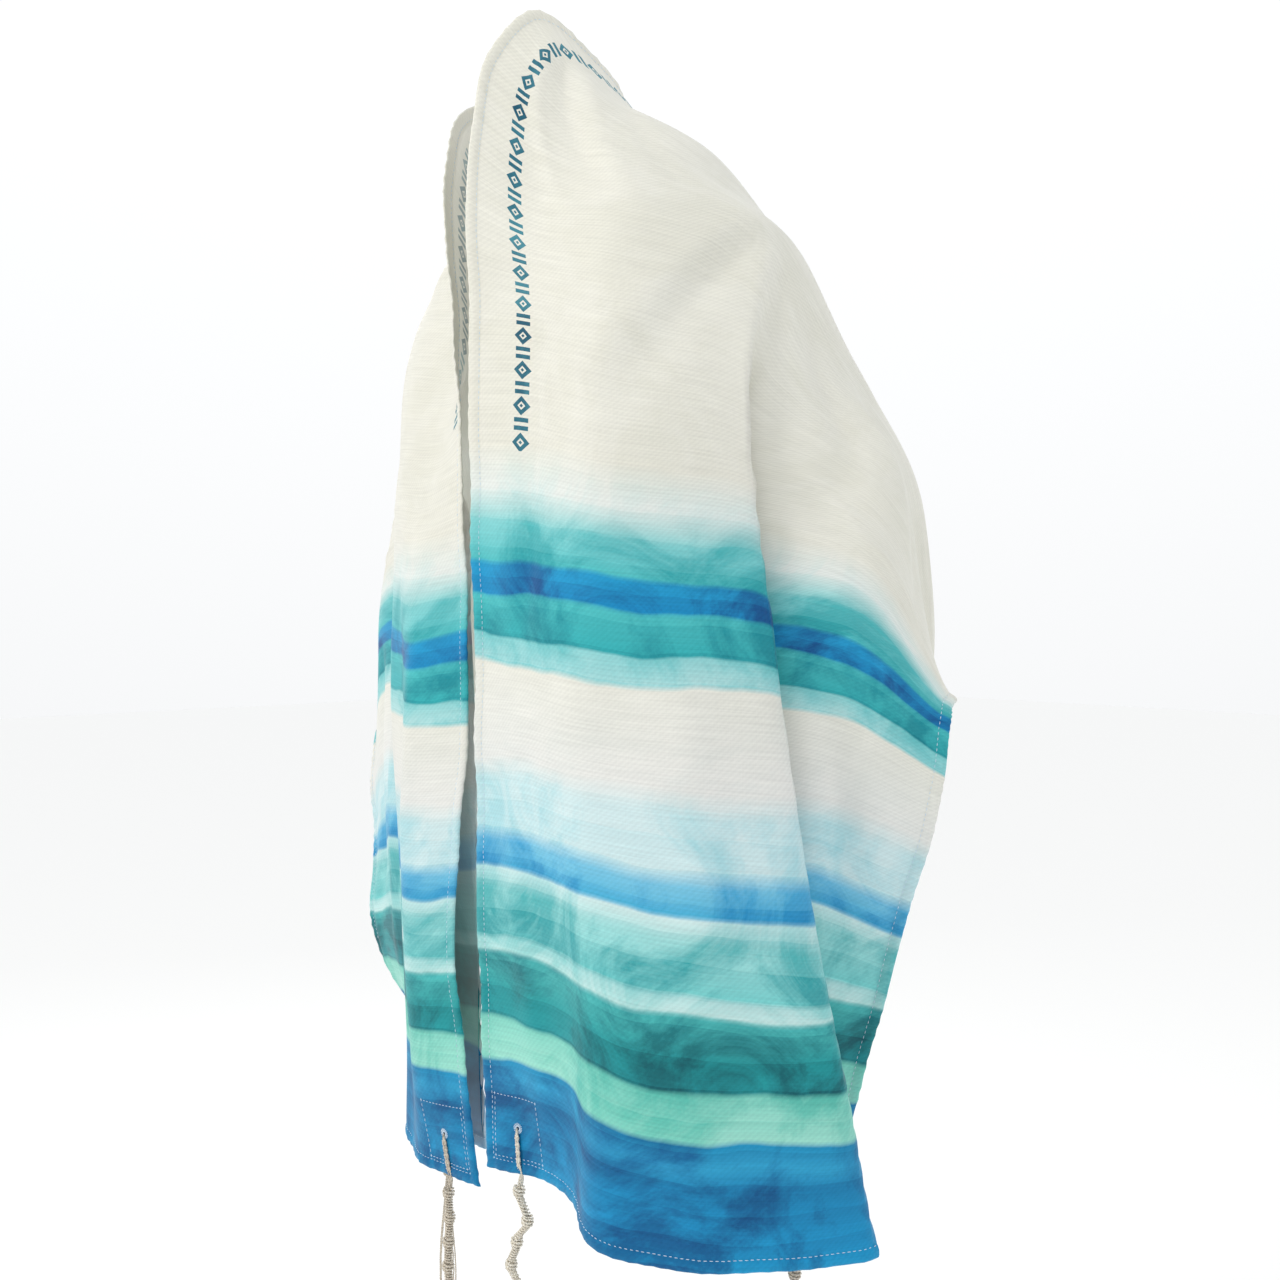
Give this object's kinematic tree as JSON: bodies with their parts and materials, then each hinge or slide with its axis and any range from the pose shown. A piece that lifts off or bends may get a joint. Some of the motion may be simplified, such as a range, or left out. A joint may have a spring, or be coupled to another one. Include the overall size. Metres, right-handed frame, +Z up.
{
  "type": "tallit prayer shawl",
  "caption": "Hollow worn prayer shawl: a hemmed cloth round the neck, ends down the front, outer edge round the arms, stitched corner squares and knotted corner fringes.",
  "frame": {"origin": "middle of the neck, at the height where the cloth rests beside it", "axes": "+Z up, the wearer looks along -Y, the wearer's left is +X"},
  "size_m": [0.643, 0.3229, 1.1385],
  "materials": {
    "cloth": "fine plain weave with soft slubs and a light sheen, warm white with level sea-blue, turquoise and mint stripes",
    "patch": "the same cloth, dyed sea blue, stitched round its edge",
    "cord": "twisted off-white wool cord"
  },
  "bodies": {
    "root": {"cloth_back": "cloth", "cloth_left_front": "cloth", "cloth_right_front": "cloth", "fringe_left_front": "cord", "fringe_left_outer": "cord", "fringe_right_front": "cord", "fringe_right_outer": "cord", "patch_left_front": "patch", "patch_left_outer": "patch", "patch_right_front": "patch", "patch_right_outer": "patch"}
  },
  "joints": []
}
